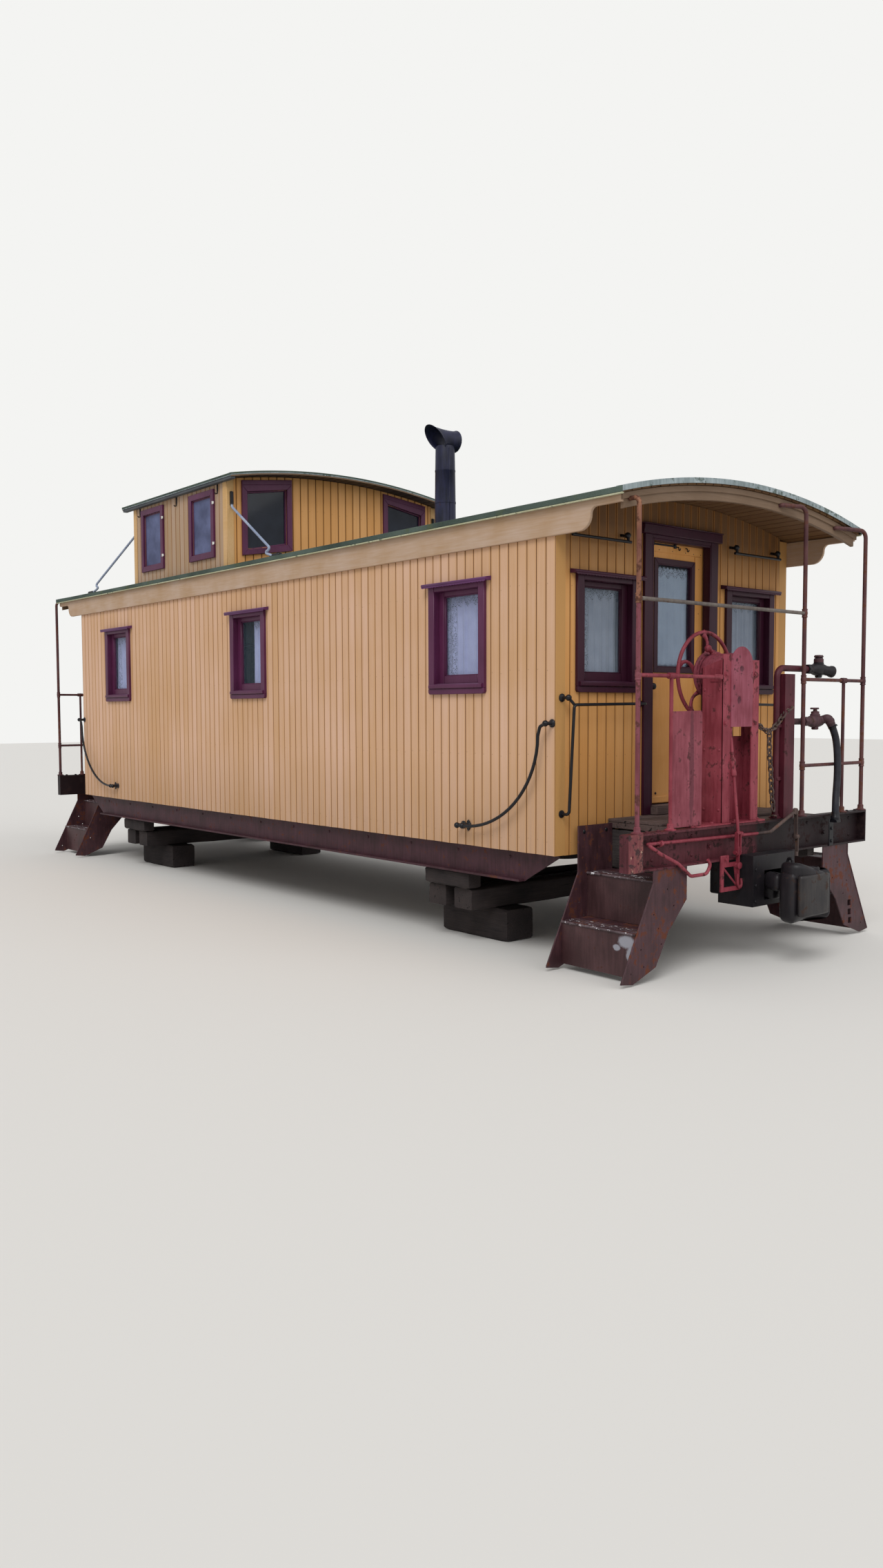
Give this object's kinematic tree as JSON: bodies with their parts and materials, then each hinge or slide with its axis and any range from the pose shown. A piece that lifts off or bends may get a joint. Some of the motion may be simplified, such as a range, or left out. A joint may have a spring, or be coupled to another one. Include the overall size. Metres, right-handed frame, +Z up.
{
  "type": "railway caboose",
  "caption": "Wooden caboose with an arched roof, off-centre cupola, end platforms with steps, pipe railings and hand brake, resting on timber cribbing in place of its trucks.",
  "frame": {"origin": "on the ground under the middle of the car, halfway between the two end walls", "axes": "+X along the car towards the end that carries the brake hose, +Z up, +Y to the left when facing +X"},
  "size_m": [10.71, 3.06, 4.45],
  "materials": {
    "siding": "weathered ochre paint on vertical matchboard",
    "roofing": "dark green-grey covered boards with a pale folded edge",
    "trim": "dark maroon paint, satin",
    "fascia": "weathered tan paint",
    "floorboards": "bare worn boards",
    "timber": "rough grey-brown baulks",
    "glass": "clear pane",
    "curtain": "thin white cloth",
    "red_iron": "faded red oxide paint",
    "step_iron": "dark brown paint, peeled and rusty",
    "dark_iron": "black paint, weathered",
    "casting": "dark rusty casting",
    "flue": "blue-black sheet iron",
    "hardware": "dull dark brass",
    "hose": "black rubber"
  },
  "bodies": {
    "car": {"air_pipes": "red_iron", "air_tanks": "dark_iron", "base_timbers": "timber", "body_bolsters": "step_iron", "brake_hose": "hose", "brake_rigging": "red_iron", "brake_stands": "red_iron", "brake_wheels": "red_iron", "centre_sill": "step_iron", "couplers": "casting", "cross_bearers": "timber", "cross_ties": "timber", "cupola_end_walls": "siding", "cupola_glass": "glass", "cupola_handrails": "dark_iron", "cupola_roof": "roofing", "cupola_side_walls": "siding", "cupola_window_casings": "trim", "door_frames": "trim", "door_hinges": "hardware", "end_grab_irons": "dark_iron", "end_sills": "red_iron", "floor": "floorboards", "front_wall": "siding", "gangway_posts": "red_iron", "knuckles": "casting", "left_wall": "siding", "letterboards": "fascia", "main_roof": "roofing", "packing_timbers": "timber", "platform_decks": "floorboards", "railings": "red_iron", "rear_wall": "siding", "right_wall": "siding", "roof_arch_boards": "fascia", "side_grab_irons": "dark_iron", "side_sills": "step_iron", "smokejack": "flue", "steps": "step_iron", "strikers": "casting", "uncoupling_levers": "red_iron", "window_curtains": "curtain", "window_frames": "trim", "window_glass": "glass"},
    "front_door_leaf": {"front_door": "siding", "front_door_glass": "glass", "front_door_curtain": "curtain"},
    "rear_door_leaf": {"rear_door": "siding", "rear_door_glass": "glass", "rear_door_curtain": "curtain"}
  },
  "joints": [
    {"name": "front_door_hinge", "type": "hinge", "parent": "car", "child": "front_door_leaf", "pos_m": [4.031, 0.32625, 1.1], "axis": [0, 0, 1], "range_deg": [-90, 0]},
    {"name": "rear_door_hinge", "type": "hinge", "parent": "car", "child": "rear_door_leaf", "pos_m": [-4.031, -0.32625, 1.1], "axis": [0, 0, 1], "range_deg": [-90, 0]}
  ]
}
